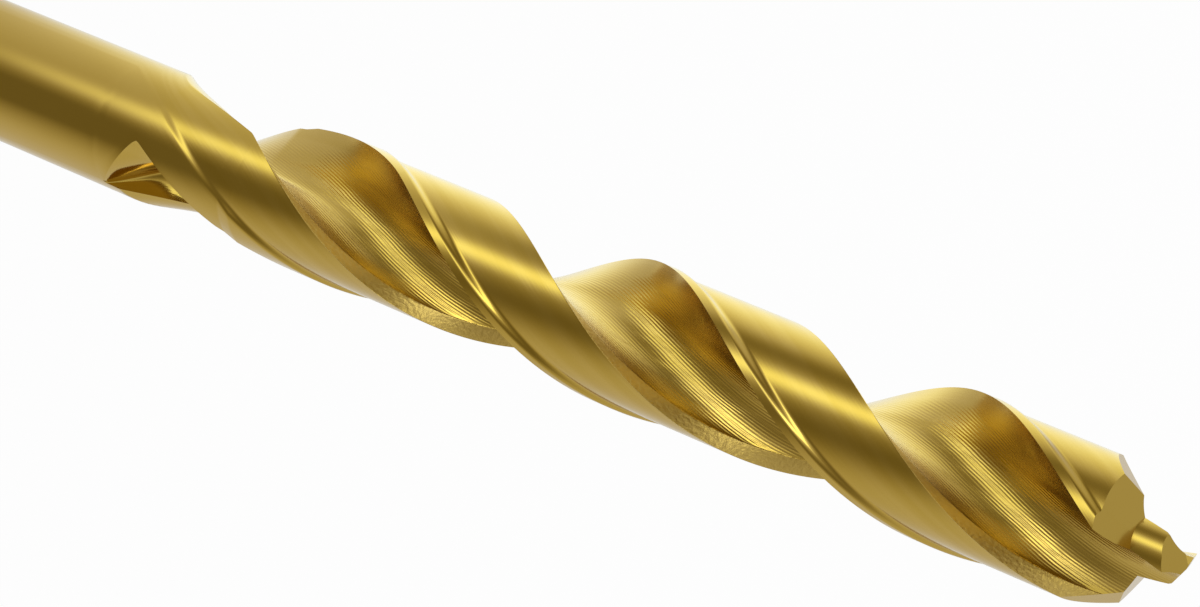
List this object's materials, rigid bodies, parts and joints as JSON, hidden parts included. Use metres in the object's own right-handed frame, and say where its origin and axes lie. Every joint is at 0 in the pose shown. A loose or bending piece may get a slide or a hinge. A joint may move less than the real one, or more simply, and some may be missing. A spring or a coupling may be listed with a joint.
{
  "type": "twist drill bit",
  "caption": "Right-hand twist drill with a plain round shank, helical flutes and a stepped pilot point, coated gold.",
  "frame": {"origin": "centre of the flat end of the shank, which the drill stands on", "axes": "+Z along the drill's axis to its point; +X through the outer corner of one main lip"},
  "size_m": [0.0126, 0.0126, 0.151],
  "materials": {
    "coated_steel": "gold nitride coating over ground high-speed steel"
  },
  "bodies": {
    "root": {"drill_bit": "coated_steel"}
  },
  "joints": []
}
